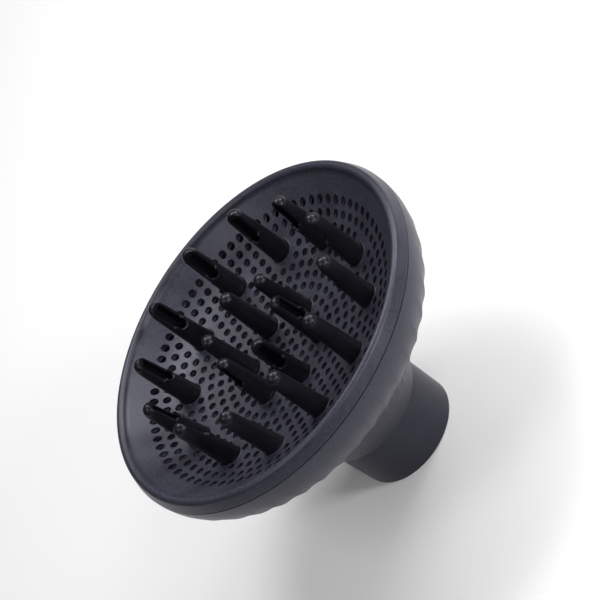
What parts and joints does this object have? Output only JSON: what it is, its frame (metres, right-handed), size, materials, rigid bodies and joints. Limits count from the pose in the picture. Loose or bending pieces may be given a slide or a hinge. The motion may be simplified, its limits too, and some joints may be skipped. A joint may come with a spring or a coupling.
{
  "type": "hair dryer diffuser",
  "caption": "Round hair dryer diffuser: perforated bowl with two rings of hollow scoop fingers, fluted rear shell and push-on neck.",
  "frame": {"origin": "centre of the open end of the neck, on its end face", "axes": "+Z along the diffuser's axis, from the neck towards the fingers; +X through one outer finger and one inner finger"},
  "size_m": [0.168, 0.168, 0.1145],
  "materials": {
    "bowl_plastic": "fine-grained matte slate grey",
    "finger_plastic": "smooth satin",
    "shell_plastic": "fine-grained matte slate grey",
    "neck_plastic": "smooth matte",
    "sleeve_rubber": "matt soft rubber"
  },
  "bodies": {
    "root": {"front_bowl": "bowl_plastic", "outer_finger_01": "finger_plastic", "outer_finger_02": "finger_plastic", "outer_finger_03": "finger_plastic", "outer_finger_04": "finger_plastic", "outer_finger_05": "finger_plastic", "outer_finger_06": "finger_plastic", "outer_finger_07": "finger_plastic", "outer_finger_08": "finger_plastic", "outer_finger_09": "finger_plastic", "outer_finger_10": "finger_plastic", "outer_finger_11": "finger_plastic", "outer_finger_12": "finger_plastic", "inner_finger_01": "finger_plastic", "inner_finger_02": "finger_plastic", "inner_finger_03": "finger_plastic", "inner_finger_04": "finger_plastic", "inner_finger_05": "finger_plastic", "inner_finger_06": "finger_plastic", "rear_shell": "shell_plastic", "neck_collar": "neck_plastic", "grip_sleeve": "sleeve_rubber"}
  },
  "joints": []
}
